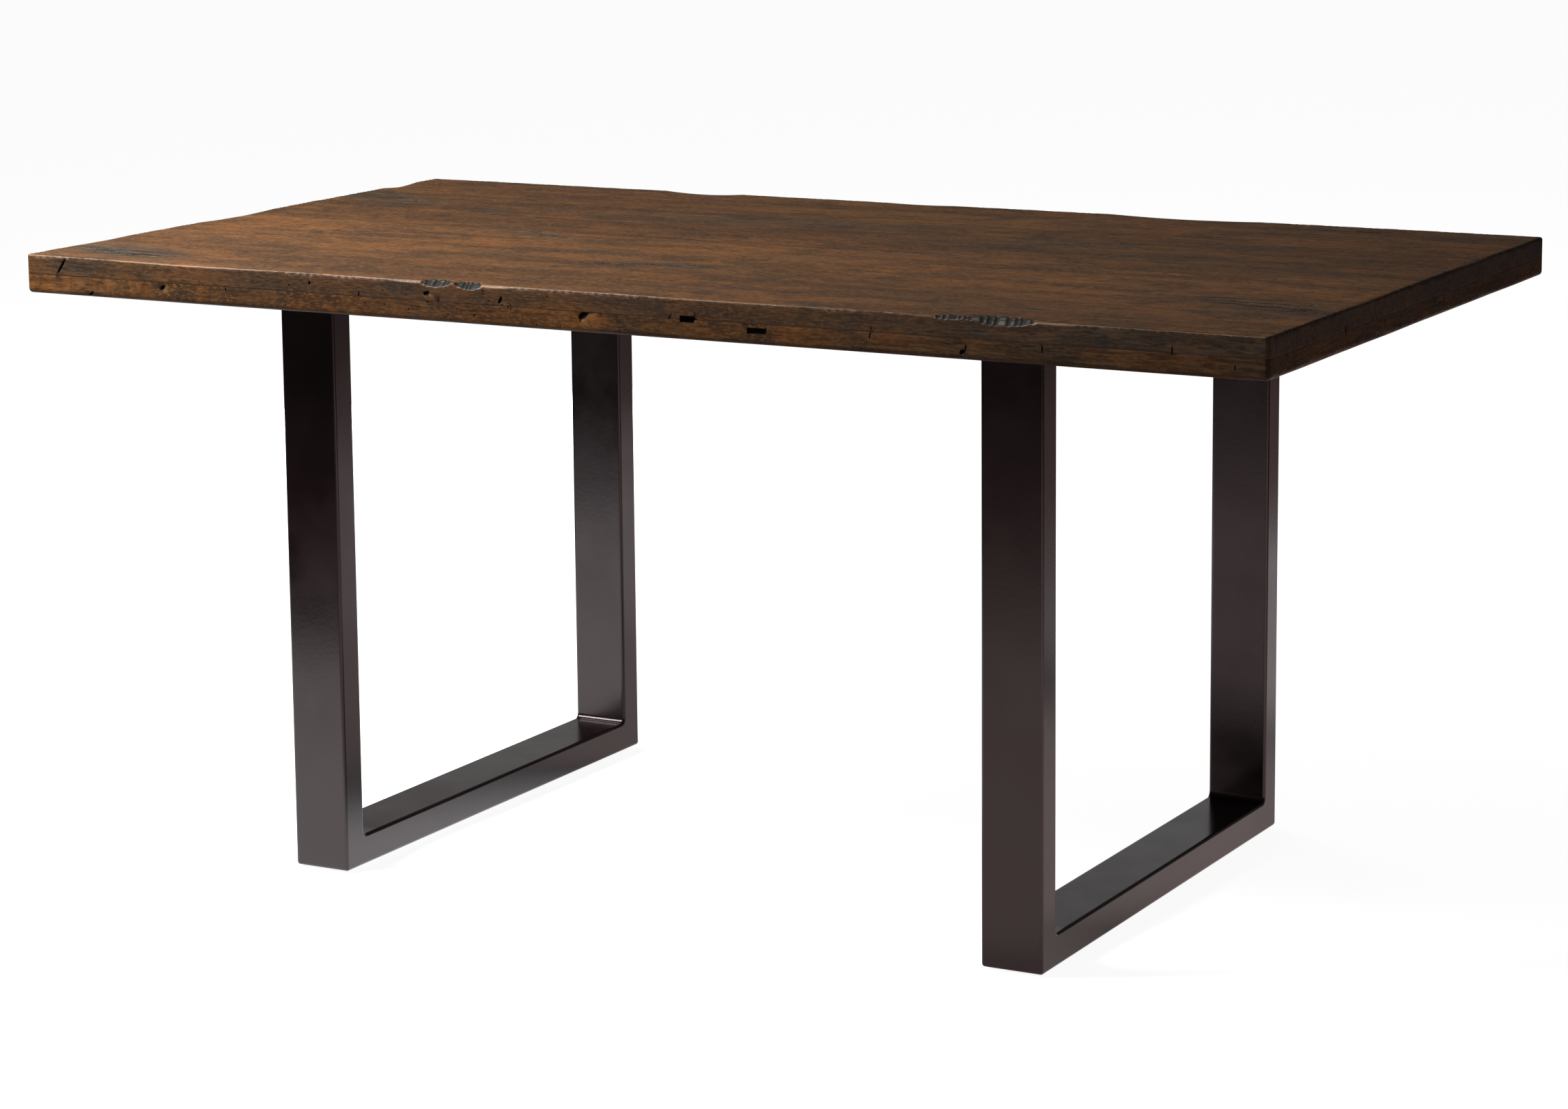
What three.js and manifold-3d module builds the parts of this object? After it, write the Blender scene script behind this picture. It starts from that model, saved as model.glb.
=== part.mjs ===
// Dining table: a built-up plank top on two U-shaped frames of rectangular steel tube.
//
// Millimetres. +X runs along the table, +Y to its back, +Z up. The origin is on the floor under the
// middle of the top.
//
// The top is two layers thick at its edges: full-length boards above, and a border of strips glued
// under them. Inside the border a cross cleat lies over each frame, flush with the strips, and
// carries the threaded inserts that the frame's mounting plate is bolted to.

import * as THREE from 'three';
import { mergeVertices } from 'three/addons/utils/BufferGeometryUtils.js';
import Module from 'manifold-3d';

const wasm = await Module();
wasm.setup();

// ---------------------------------------------------------------- driving dimensions

// The whole table
const TABLE_LENGTH = 1625.6;
const TABLE_WIDTH = 914.4;
const TABLE_HEIGHT = 762;

// Top boards, edge-glued. The two outer boards reach from the middle ones to the top's edges.
const BOARD_THICKNESS = 23.8;
const MIDDLE_SEAM_Y = -6.35;
const MID_FRONT_BOARD_WIDTH = 241.3;
const MID_BACK_BOARD_WIDTH = 273.05;

// Border strips under the boards, and the easing of the top's outside edges and corners
const STRIP_THICKNESS = 23.8;
const STRIP_WIDTH = 76.2;
const EDGE_EASING = 3;
const PLAN_CORNER_RADIUS = 4;

// Cross cleats, which stop short of the strips so that the boards can shrink
const CLEAT_MARGIN = 31.75;
const CLEAT_END_GAP = 2;

// Frames: rectangular tube, mitred at the floor and welded to a flat plate under the top
const END_OVERHANG = 304.8;
const SIDE_OVERHANG = 101.6;
const TUBE_WIDTH = 76.2;
const TUBE_DEPTH = 38.1;
const TUBE_WALL = 3;
const TUBE_CORNER_RADIUS = 4;
const MITRE_GAP = 0.3;
const PLATE_THICKNESS = 6.35;
const WELD_LEG = 7;

// Glides, pressed into holes in the floor rails
const GLIDE_RADIUS = 15;
const GLIDE_THICKNESS = 2.5;
const GLIDE_EDGE_CHAMFER = 0.8;
const GLIDE_STEM_RADIUS = 4;
const GLIDE_STEM_LENGTH = 9;
const GLIDE_INSET = 60;

// Bolts that hold each plate to the inserts in its cleat
const BOLT_RADIUS = 4;
const BOLT_HEAD_ACROSS_FLATS = 13;
const BOLT_HEAD_HEIGHT = 5.3;
const BOLT_EDGE_DISTANCE = 19.05;
const BOLT_POST_DISTANCE = 45;
const BOLT_TIP_GAP = 1.5;
const WASHER_RADIUS = 8.5;
const WASHER_THICKNESS = 1.6;
const INSERT_WALL = 2;
const INSERT_COVER = 5.8;

// Screws that hold the boards to the cleats
const SCREW_RADIUS = 2.5;
const SCREW_POINT = 6;
const SCREW_HEAD_RADIUS = 5;
const SCREW_HEAD_HEIGHT = 3;
const SCREW_SINK = 6;
const SCREW_COVER = 5.6;
const SCREW_HEAD_CLEARANCE = 1.5;

// Clearance around anything round that sits in a hole
const HOLE_CLEARANCE = 0.3;

// Facets
const ROUND_SEGMENTS = 24;
const CORNER_SEGMENTS = 4;

// ---------------------------------------------------------------- worked-out sizes

const TOP_THICKNESS = BOARD_THICKNESS + STRIP_THICKNESS;
const TOP_UNDERSIDE = TABLE_HEIGHT - TOP_THICKNESS;
const FRAME_DEPTH = TABLE_WIDTH - 2 * SIDE_OVERHANG;
const FRAME_X = TABLE_LENGTH / 2 - END_OVERHANG - TUBE_WIDTH / 2;
const PLATE_UNDERSIDE = TOP_UNDERSIDE - PLATE_THICKNESS;
const CLEAT_WIDTH = TUBE_WIDTH + 2 * CLEAT_MARGIN;
const CLEAT_LENGTH = TABLE_WIDTH - 2 * (STRIP_WIDTH + CLEAT_END_GAP);
const INSERT_RADIUS = BOLT_RADIUS + HOLE_CLEARANCE + INSERT_WALL;
const INSERT_LENGTH = STRIP_THICKNESS - INSERT_COVER;
const BOLT_LENGTH = WASHER_THICKNESS + PLATE_THICKNESS + INSERT_LENGTH - BOLT_TIP_GAP;
const SCREW_LENGTH = STRIP_THICKNESS - SCREW_SINK + BOARD_THICKNESS - SCREW_COVER;

const BOARDS = [
  { name: 'board_front', from: -TABLE_WIDTH / 2, to: MIDDLE_SEAM_Y - MID_FRONT_BOARD_WIDTH },
  { name: 'board_mid_front', from: MIDDLE_SEAM_Y - MID_FRONT_BOARD_WIDTH, to: MIDDLE_SEAM_Y },
  { name: 'board_mid_back', from: MIDDLE_SEAM_Y, to: MIDDLE_SEAM_Y + MID_BACK_BOARD_WIDTH },
  { name: 'board_back', from: MIDDLE_SEAM_Y + MID_BACK_BOARD_WIDTH, to: TABLE_WIDTH / 2 },
];

// The four bolts of one plate, from its middle: a pair beside each post
const BOLT_X = TUBE_WIDTH / 2 - BOLT_EDGE_DISTANCE;
const BOLT_Y = FRAME_DEPTH / 2 - TUBE_DEPTH - BOLT_POST_DISTANCE;
const BOLT_PLACES = [[-BOLT_X, -BOLT_Y], [BOLT_X, -BOLT_Y], [-BOLT_X, BOLT_Y], [BOLT_X, BOLT_Y]];

// The screws of one cleat, from its middle: one into each board, by turns left and right of the plate
const SCREW_X = (TUBE_WIDTH + CLEAT_MARGIN) / 2;
const SCREW_PLACES = BOARDS.map((board, i) => {
  const from = Math.max(board.from, -CLEAT_LENGTH / 2);
  const to = Math.min(board.to, CLEAT_LENGTH / 2);
  return [i % 2 ? SCREW_X : -SCREW_X, (from + to) / 2];
});

// ---------------------------------------------------------------- materials

function finish(color, roughness, metalness = 0) {
  return new THREE.MeshStandardMaterial({ color, roughness, metalness });
}

const boardWood = finish(0x5a3822, 0.45);
const stripWood = finish(0x6a4023, 0.45);
const cleatWood = finish(0x7a5434, 0.6);
const bronzeSteel = finish(0x2a2322, 0.32, 0.6);
const zincSteel = finish(0xb4b6b8, 0.35, 0.9);
const brass = finish(0xb8923f, 0.35, 0.9);
const nylon = finish(0x1c1b1a, 0.6);

// ---------------------------------------------------------------- geometry helpers

function toSolid(geometry) {
  const bare = geometry.clone();
  bare.deleteAttribute('normal');
  bare.deleteAttribute('uv');
  const merged = mergeVertices(bare);
  return new wasm.Manifold(new wasm.Mesh({
    numProp: 3,
    vertProperties: new Float32Array(merged.attributes.position.array),
    triVerts: new Uint32Array(merged.index.array),
  }));
}

function toGeometry(solid) {
  const mesh = solid.getMesh();
  const geometry = new THREE.BufferGeometry();
  geometry.setAttribute('position', new THREE.BufferAttribute(mesh.vertProperties, 3));
  geometry.setIndex(new THREE.BufferAttribute(mesh.triVerts, 1));
  return geometry;
}

function cut(geometry, tools) {
  const solid = tools.reduce((rest, tool) => rest.subtract(toSolid(tool)), toSolid(geometry));
  return toGeometry(solid);
}

// A box centred on X and Y that stands on z = 0
function standingBox(width, depth, height) {
  return new THREE.BoxGeometry(width, depth, height).translate(0, 0, height / 2);
}

// An upright cylinder from z = from to z = to
function upright(radius, from, to, x = 0, y = 0) {
  const height = to - from;
  return new THREE.CylinderGeometry(radius, radius, height, ROUND_SEGMENTS)
    .rotateX(Math.PI / 2)
    .translate(x, y, from + height / 2);
}

// A body turned about +Z from [radius, z] points
function turned(points) {
  const profile = points.map(([radius, z]) => new THREE.Vector2(radius, z));
  return new THREE.LatheGeometry(profile, ROUND_SEGMENTS).rotateX(Math.PI / 2);
}

// A ring with a rectangular section that stands on z = 0
function ring(inner, outer, height) {
  return turned([[inner, 0], [outer, 0], [outer, height], [inner, height], [inner, 0]]);
}

function roundedRectangle(width, depth, radius, Outline = THREE.Shape) {
  const x = width / 2 - radius;
  const y = depth / 2 - radius;
  const outline = new Outline();
  outline.absarc(x, y, radius, 0, Math.PI / 2);
  outline.absarc(-x, y, radius, Math.PI / 2, Math.PI);
  outline.absarc(-x, -y, radius, Math.PI, 1.5 * Math.PI);
  outline.absarc(x, -y, radius, 1.5 * Math.PI, 2 * Math.PI);
  return outline;
}

function named(name, geometry, material) {
  const mesh = new THREE.Mesh(geometry, material);
  mesh.name = name;
  return mesh;
}

// ---------------------------------------------------------------- the wooden top
// Its own frame has z = 0 at the underside of the strips.

// The outline of the finished top, its corners rounded and its long edges eased all round
function topEnvelope() {
  const outline = roundedRectangle(TABLE_LENGTH, TABLE_WIDTH, PLAN_CORNER_RADIUS);
  const geometry = new THREE.ExtrudeGeometry(outline, {
    depth: TOP_THICKNESS - 2 * EDGE_EASING,
    bevelThickness: EDGE_EASING,
    bevelSize: EDGE_EASING,
    bevelOffset: -EDGE_EASING,
    bevelSegments: 3,
    curveSegments: CORNER_SEGMENTS,
  });
  return toSolid(geometry.translate(0, 0, EDGE_EASING));
}

// A squared piece of the top, worked to the finished outline after the top is glued up
function eased(geometry, envelope) {
  return toGeometry(toSolid(geometry).intersect(envelope));
}

function boardGeometry(board, envelope) {
  const blank = standingBox(TABLE_LENGTH, board.to - board.from, BOARD_THICKNESS)
    .translate(0, (board.from + board.to) / 2, STRIP_THICKNESS);
  const pilotHoles = [];
  for (const side of [-1, 1]) {
    for (const [x, y] of SCREW_PLACES) {
      if (y < board.from || y > board.to) continue;
      const tip = TOP_THICKNESS - SCREW_COVER + HOLE_CLEARANCE;
      const radius = SCREW_RADIUS + HOLE_CLEARANCE;
      pilotHoles.push(upright(radius, STRIP_THICKNESS - 1, tip, side * FRAME_X + x, y));
    }
  }
  return cut(eased(blank, envelope), pilotHoles);
}

// The front and back strips run the full length, and the end strips butt between them
function strips(envelope) {
  const long = standingBox(TABLE_LENGTH, STRIP_WIDTH, STRIP_THICKNESS);
  const short = standingBox(STRIP_WIDTH, TABLE_WIDTH - 2 * STRIP_WIDTH, STRIP_THICKNESS);
  const x = (TABLE_LENGTH - STRIP_WIDTH) / 2;
  const y = (TABLE_WIDTH - STRIP_WIDTH) / 2;
  return [
    named('edge_strip_front', eased(long.clone().translate(0, -y, 0), envelope), stripWood),
    named('edge_strip_back', eased(long.clone().translate(0, y, 0), envelope), stripWood),
    named('edge_strip_left', eased(short.clone().translate(-x, 0, 0), envelope), stripWood),
    named('edge_strip_right', eased(short.clone().translate(x, 0, 0), envelope), stripWood),
  ];
}

// A cleat, bored for the inserts and counterbored for the screws
function cleatGeometry() {
  const holes = [];
  for (const [x, y] of BOLT_PLACES) {
    holes.push(upright(INSERT_RADIUS + HOLE_CLEARANCE, -1, INSERT_LENGTH + HOLE_CLEARANCE, x, y));
  }
  for (const [x, y] of SCREW_PLACES) {
    holes.push(upright(SCREW_RADIUS + HOLE_CLEARANCE, -1, STRIP_THICKNESS + 1, x, y));
    holes.push(upright(SCREW_HEAD_RADIUS + SCREW_HEAD_CLEARANCE, -1, SCREW_SINK, x, y));
  }
  return cut(standingBox(CLEAT_WIDTH, CLEAT_LENGTH, STRIP_THICKNESS), holes);
}

function screwGeometry() {
  return turned([
    [0, -SCREW_HEAD_HEIGHT],
    [SCREW_HEAD_RADIUS, -SCREW_HEAD_HEIGHT],
    [SCREW_HEAD_RADIUS, 0],
    [SCREW_RADIUS, 0],
    [SCREW_RADIUS, SCREW_LENGTH - SCREW_POINT],
    [0, SCREW_LENGTH],
  ]);
}

// A cleat with its inserts and screws; its own frame is at the middle of the cleat's underside
function cleatAssembly(prefix) {
  const group = new THREE.Group();
  group.add(named(`${prefix}_cleat`, cleatGeometry(), cleatWood));
  BOLT_PLACES.forEach(([x, y], i) => {
    const geometry = ring(BOLT_RADIUS + HOLE_CLEARANCE, INSERT_RADIUS, INSERT_LENGTH);
    const insert = named(`${prefix}_insert_${i + 1}`, geometry, brass);
    insert.position.set(x, y, 0);
    group.add(insert);
  });
  SCREW_PLACES.forEach(([x, y], i) => {
    const screw = named(`${prefix}_cleat_screw_${i + 1}`, screwGeometry(), zincSteel);
    screw.position.set(x, y, SCREW_SINK);
    group.add(screw);
  });
  return group;
}

function buildTop() {
  const top = new THREE.Group();
  const envelope = topEnvelope();
  for (const board of BOARDS) {
    top.add(named(board.name, boardGeometry(board, envelope), boardWood));
  }
  top.add(...strips(envelope));
  top.position.z = TOP_UNDERSIDE;
  return top;
}

// ---------------------------------------------------------------- the steel frames
// A frame's own origin is on the floor under its middle.

// A tube along +Z. Its outside, the long side of a mitre, faces -Y.
function tube(length, mitreStart, mitreEnd) {
  const section = roundedRectangle(TUBE_WIDTH, TUBE_DEPTH, TUBE_CORNER_RADIUS);
  section.holes.push(roundedRectangle(
    TUBE_WIDTH - 2 * TUBE_WALL,
    TUBE_DEPTH - 2 * TUBE_WALL,
    TUBE_CORNER_RADIUS - TUBE_WALL,
    THREE.Path,
  ));
  const geometry = new THREE.ExtrudeGeometry(section, {
    depth: length,
    bevelEnabled: false,
    curveSegments: CORNER_SEGMENTS,
  });
  const position = geometry.attributes.position;
  for (let i = 0; i < position.count; i += 1) {
    const atEnd = position.getZ(i) > length / 2;
    const setBack = position.getY(i) + TUBE_DEPTH / 2 + MITRE_GAP / Math.SQRT2;
    if (atEnd && mitreEnd) position.setZ(i, length - setBack);
    if (!atEnd && mitreStart) position.setZ(i, setBack);
  }
  return geometry;
}

function postGeometry() {
  return tube(PLATE_UNDERSIDE - GLIDE_THICKNESS, true, false);
}

// The floor rail, along Y, with a hole for each glide's stem
function railGeometry() {
  const rail = tube(FRAME_DEPTH, true, true)
    .rotateX(Math.PI / 2)
    .translate(0, FRAME_DEPTH / 2, GLIDE_THICKNESS + TUBE_DEPTH / 2);
  const top = GLIDE_THICKNESS + TUBE_DEPTH / 2;
  const holes = [-1, 1].map((end) => upright(
    GLIDE_STEM_RADIUS + HOLE_CLEARANCE,
    GLIDE_THICKNESS - 1,
    top,
    0,
    end * (FRAME_DEPTH / 2 - GLIDE_INSET),
  ));
  return cut(rail, holes);
}

function plateGeometry() {
  const plate = standingBox(TUBE_WIDTH, FRAME_DEPTH, PLATE_THICKNESS);
  const radius = BOLT_RADIUS + HOLE_CLEARANCE;
  const holes = BOLT_PLACES.map(([x, y]) => upright(radius, -1, PLATE_THICKNESS + 1, x, y));
  return cut(plate, holes);
}

// The hollow-faced weld inside a mitred corner, along X, with its two legs along +Y and +Z
function weldGeometry() {
  const section = new THREE.Shape();
  section.moveTo(0, 0);
  section.lineTo(WELD_LEG, 0);
  section.absarc(WELD_LEG, WELD_LEG, WELD_LEG, 1.5 * Math.PI, Math.PI, true);
  section.closePath();
  const length = TUBE_WIDTH - 2 * TUBE_CORNER_RADIUS;
  return new THREE.ExtrudeGeometry(section, {
    depth: length,
    bevelEnabled: false,
    curveSegments: CORNER_SEGMENTS,
  })
    .translate(0, 0, -length / 2)
    .rotateY(Math.PI / 2)
    .rotateX(Math.PI / 2);
}

// A hexagon bolt, head down, with the underside of its head at z = 0
function boltGeometry() {
  const headRadius = BOLT_HEAD_ACROSS_FLATS / Math.sqrt(3);
  const head = new THREE.CylinderGeometry(headRadius, headRadius, BOLT_HEAD_HEIGHT, 6)
    .rotateX(Math.PI / 2)
    .translate(0, 0, -BOLT_HEAD_HEIGHT / 2);
  const shank = upright(BOLT_RADIUS, -BOLT_HEAD_HEIGHT / 2, BOLT_LENGTH);
  return toGeometry(toSolid(head).add(toSolid(shank)));
}

function glideGeometry() {
  return turned([
    [0, 0],
    [GLIDE_RADIUS - GLIDE_EDGE_CHAMFER, 0],
    [GLIDE_RADIUS, GLIDE_EDGE_CHAMFER],
    [GLIDE_RADIUS, GLIDE_THICKNESS],
    [GLIDE_STEM_RADIUS, GLIDE_THICKNESS],
    [GLIDE_STEM_RADIUS, GLIDE_THICKNESS + GLIDE_STEM_LENGTH],
    [0, GLIDE_THICKNESS + GLIDE_STEM_LENGTH],
  ]);
}

// One post with the weld and the glide at its foot, built for the front and turned for the back
function frameEnd(prefix, end) {
  const group = new THREE.Group();
  const post = named(`${prefix}_post_${end}`, postGeometry(), bronzeSteel);
  post.position.set(0, -(FRAME_DEPTH - TUBE_DEPTH) / 2, GLIDE_THICKNESS);
  const weld = named(`${prefix}_weld_${end}`, weldGeometry(), bronzeSteel);
  weld.position.set(0, -FRAME_DEPTH / 2 + TUBE_DEPTH, GLIDE_THICKNESS + TUBE_DEPTH);
  const glide = named(`${prefix}_glide_${end}`, glideGeometry(), nylon);
  glide.position.set(0, -FRAME_DEPTH / 2 + GLIDE_INSET, 0);
  group.add(post, weld, glide);
  group.rotation.z = end === 'back' ? Math.PI : 0;
  return group;
}

function buildFrame(prefix) {
  const frame = new THREE.Group();
  frame.add(frameEnd(prefix, 'front'), frameEnd(prefix, 'back'));
  frame.add(named(`${prefix}_floor_rail`, railGeometry(), bronzeSteel));
  const plate = named(`${prefix}_mount_plate`, plateGeometry(), bronzeSteel);
  plate.position.z = PLATE_UNDERSIDE;
  frame.add(plate);
  BOLT_PLACES.forEach(([x, y], i) => {
    const washerGeometry = ring(BOLT_RADIUS + HOLE_CLEARANCE, WASHER_RADIUS, WASHER_THICKNESS);
    const washer = named(`${prefix}_washer_${i + 1}`, washerGeometry, zincSteel);
    washer.position.set(x, y, PLATE_UNDERSIDE - WASHER_THICKNESS);
    const bolt = named(`${prefix}_bolt_${i + 1}`, boltGeometry(), zincSteel);
    bolt.position.copy(washer.position);
    frame.add(washer, bolt);
  });
  return frame;
}

// ---------------------------------------------------------------- the table

const table = new THREE.Group();
table.add(buildTop());
for (const [prefix, side] of [['left', -1], ['right', 1]]) {
  const frame = buildFrame(prefix);
  const cleat = cleatAssembly(prefix);
  frame.position.x = side * FRAME_X;
  cleat.position.set(side * FRAME_X, 0, TOP_UNDERSIDE);
  table.add(frame, cleat);
}

export default table;
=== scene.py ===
import math

import bpy
import numpy as np
from mathutils import Matrix, Vector
from mathutils.geometry import delaunay_2d_cdt


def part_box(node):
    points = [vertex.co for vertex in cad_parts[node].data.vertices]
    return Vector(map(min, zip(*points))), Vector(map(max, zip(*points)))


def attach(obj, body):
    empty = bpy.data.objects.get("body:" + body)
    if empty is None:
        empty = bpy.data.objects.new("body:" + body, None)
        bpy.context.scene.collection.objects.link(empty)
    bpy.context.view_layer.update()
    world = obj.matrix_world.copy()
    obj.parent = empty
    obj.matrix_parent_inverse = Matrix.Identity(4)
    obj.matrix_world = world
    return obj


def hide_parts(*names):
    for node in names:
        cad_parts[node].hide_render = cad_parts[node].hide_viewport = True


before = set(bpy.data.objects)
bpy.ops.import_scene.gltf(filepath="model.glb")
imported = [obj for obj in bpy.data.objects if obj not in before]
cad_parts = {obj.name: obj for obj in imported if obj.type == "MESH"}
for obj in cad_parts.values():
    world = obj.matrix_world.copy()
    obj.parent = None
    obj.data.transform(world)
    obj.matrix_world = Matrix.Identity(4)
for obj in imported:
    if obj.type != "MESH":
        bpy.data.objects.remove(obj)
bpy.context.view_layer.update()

# The looks of a distressed plank-top dining table on two U-shaped steel frames.
#
# The wooden pieces are worked in millimetres, in the table's own frame, and written out in metres.
# Each wooden piece starts as the box that the CAD gives it. Its faces get points where detail is
# (arrises, seams, checks, dents, worm holes, gouges), are triangulated, and are then worn to shape.

MM = 0.001


def box_mm(node):
    low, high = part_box(node)
    return np.array(low) / MM, np.array(high) / MM


# ------------------------------------------------------------------ the wooden top: sizes

BOARDS = ["board_front", "board_mid_front", "board_mid_back", "board_back"]
STRIPS = ["edge_strip_front", "edge_strip_back", "edge_strip_left", "edge_strip_right"]
TOP_LOW = np.min([box_mm(node)[0] for node in BOARDS + STRIPS], axis=0)
TOP_HIGH = np.max([box_mm(node)[1] for node in BOARDS + STRIPS], axis=0)
LEFT, FRONT, UNDER = TOP_LOW
RIGHT, BACK, TOP = TOP_HIGH

PLAN_RADIUS = 5.5           # upright corners of the top
TOP_ARRIS = 2.8             # upper long edges, hand-worn
BOTTOM_ARRIS = 5.6          # lower long edges
OUTLINE_WANDER = 1.1        # how far the sawn outline wanders in
SCRAPED_WAVES = 0.22        # height of the hand-scraped waves on the top
SEAM_SINK = 0.12            # how far the glued arrises between pieces are sunk
SEAM_ON_TOP = 0.35          # how dark a seam is on the top, against 1 on the edges
SNAP = 0.5                  # a point this near an edge goes onto it
SPACING = 0.3               # two points nearer than this become one
TOUCH = 0.01                # a point this near a plane lies on it
RUN_OUT = 12.5              # how far down an edge's face its gouges run out
PALE_DEPTH = 2.5            # how far down that face a rubbed gouge is pale

# Each face: its normal's axis and sign, and the two axes that its (u, v) run along
FACES = {
    "left": (0, -1, 1, 2),
    "right": (0, 1, 1, 2),
    "front": (1, -1, 0, 2),
    "back": (1, 1, 0, 2),
    "under": (2, -1, 0, 1),
    "top": (2, 1, 0, 1),
}


# ------------------------------------------------------------------ marks cut into flat faces

SLOT_WALL = 0.7             # how far a slot's walls lean in
SLOT_STEP = 1.6             # between points round a slot
CHECK_STEP = 2.2            # half the distance between points along a check


class Mark:
    """A cut in a face of the top: its middle and turn on the face, half sizes, depth and section.

    A check is a V that thins to its ends, and a scratch is a check that shows pale. A slot is flat
    with steep walls, and a pit is a bowl.
    """

    def __init__(self, u, v, half_length, half_width, depth, turn=0.0, section="check"):
        self.u = u
        self.v = v
        self.half_length = half_length
        self.half_width = half_width
        self.depth = depth
        self.cos = math.cos(turn)
        self.sin = math.sin(turn)
        self.section = section

    def sink(self, u, v):
        """How much of the mark's depth a point gets, from 0 to 1."""
        du, dv = u - self.u, v - self.v
        s = (du * self.cos + dv * self.sin) / self.half_length
        t = (dv * self.cos - du * self.sin) / self.half_width
        if self.section == "pit":
            return np.clip(1.0 - s * s - t * t, 0, 1)
        if self.section == "slot":
            along = (1 - np.abs(s)) * self.half_length / SLOT_WALL
            across = (1 - np.abs(t)) * self.half_width / SLOT_WALL
            return np.clip(np.minimum(along, across), 0, 1)
        width = np.sqrt(np.clip(1.0 - s * s, 1e-6, 1))
        return np.where(np.abs(s) < 1, np.clip(width - np.abs(t), 0, 1), 0)

    def points(self):
        """Points that hold the mark's shape: its bottom and its shoulders."""
        pairs = [(0.0, 0.0)]
        if self.section == "pit":
            for share, count in ((0.55, 6), (1.0, 8)):
                for i in range(count):
                    angle = 2 * math.pi * (i + 0.5 * share) / count
                    pairs.append((share * math.cos(angle), share * math.sin(angle)))
        elif self.section == "slot":
            for inset in (0.0, SLOT_WALL, SLOT_STEP):
                a = 1 - inset / self.half_length
                b = 1 - inset / self.half_width
                if a <= 0.1 or b <= 0.1:
                    continue
                for s in np.linspace(-a, a, max(2, round(2 * a * self.half_length / SLOT_STEP))):
                    pairs += [(s, -b), (s, b)]
                for t in np.linspace(-b, b, max(2, round(2 * b * self.half_width / SLOT_STEP))):
                    pairs += [(-a, t), (a, t)]
        else:
            count = max(4, round(self.half_length / CHECK_STEP))
            for s in np.linspace(-1, 1, count + 1):
                width = math.sqrt(max(0.0, 1 - s * s))
                pairs += [(s, -width), (s, 0.0), (s, width)] if width > 0.2 else [(s, 0.0)]
        s, t = np.array(pairs).T
        s = s * self.half_length
        t = t * self.half_width
        return np.stack([self.u + s * self.cos - t * self.sin, self.v + s * self.sin + t * self.cos], 1)


def bundle(random, x, y, length, spread, lean, count, anchor=None):
    """A patch of long checks that run with the grain. It leans across the boards as it goes."""
    marks = []
    for _ in range(count):
        place = random.uniform(-1, 1)
        half_length = random.uniform(0.03, 0.17) * length * (1.1 - abs(place))
        middle = x + 0.5 * place * length
        across = y + lean * (middle - x) + random.normal(0, 0.32) * spread * (1.15 - abs(place))
        if anchor == "left":
            half_length = (middle - LEFT) / 2 * random.uniform(0.15, 0.8)
            middle -= half_length
        elif anchor == "right":
            half_length = (RIGHT - middle) / 2 * random.uniform(0.25, 1.02)
            middle += half_length
        half_length = float(np.clip(half_length, 4, 90))
        half_width = random.uniform(0.45, 1.15)
        depth = random.uniform(0.4, 1.1)
        turn = random.normal(0, 0.018)
        marks.append(Mark(middle, across, half_length, half_width, depth, turn))
    return marks


def top_marks():
    """Patches of checks, worm holes and small knocks on the top, from its left end and front edge."""
    random = np.random.default_rng(11)
    patches = [
        # middle from the left end and the front edge, length, spread, lean, count, anchored end
        (105, 70, 190, 42, -0.30, 46, "left"),
        (128, 668, 160, 44, -0.40, 46, None),
        (60, 690, 110, 30, -0.20, 16, "left"),
        (470, 432, 150, 24, -0.40, 34, None),
        (742, 226, 215, 20, 0.22, 46, None),
        (1148, 619, 180, 30, 0.40, 44, None),
        (1380, 862, 190, 22, 0.24, 36, None),
        (1515, 214, 210, 44, -0.38, 34, "right"),
    ]
    marks = []
    for along, across, length, spread, lean, count, anchor in patches:
        marks += bundle(random, LEFT + along, FRONT + across, length, spread, lean, count, anchor)
    for _ in range(85):
        x = random.uniform(LEFT + 15, RIGHT - 15)
        y = random.uniform(FRONT + 15, BACK - 15)
        size = random.uniform(0.6, 1.5)
        stretch = random.uniform(1.0, 2.2)
        turn = random.normal(0, 0.5)
        marks.append(Mark(x, y, size * stretch, size, 0.9 * size, turn, "pit"))
    marks.append(Mark(LEFT + 158, FRONT + 52, 36, 0.9, 0.15, -0.72, "scratch"))
    marks.append(Mark(LEFT + 178, FRONT + 30, 12, 0.8, 0.15, 0.1, "scratch"))
    for _ in range(16):
        x = random.uniform(LEFT + 40, RIGHT - 40)
        y = random.uniform(FRONT + 40, BACK - 40)
        marks.append(Mark(x, y, random.uniform(5, 14), 0.8, 0.7, random.normal(0, 0.25)))
    return marks


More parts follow.
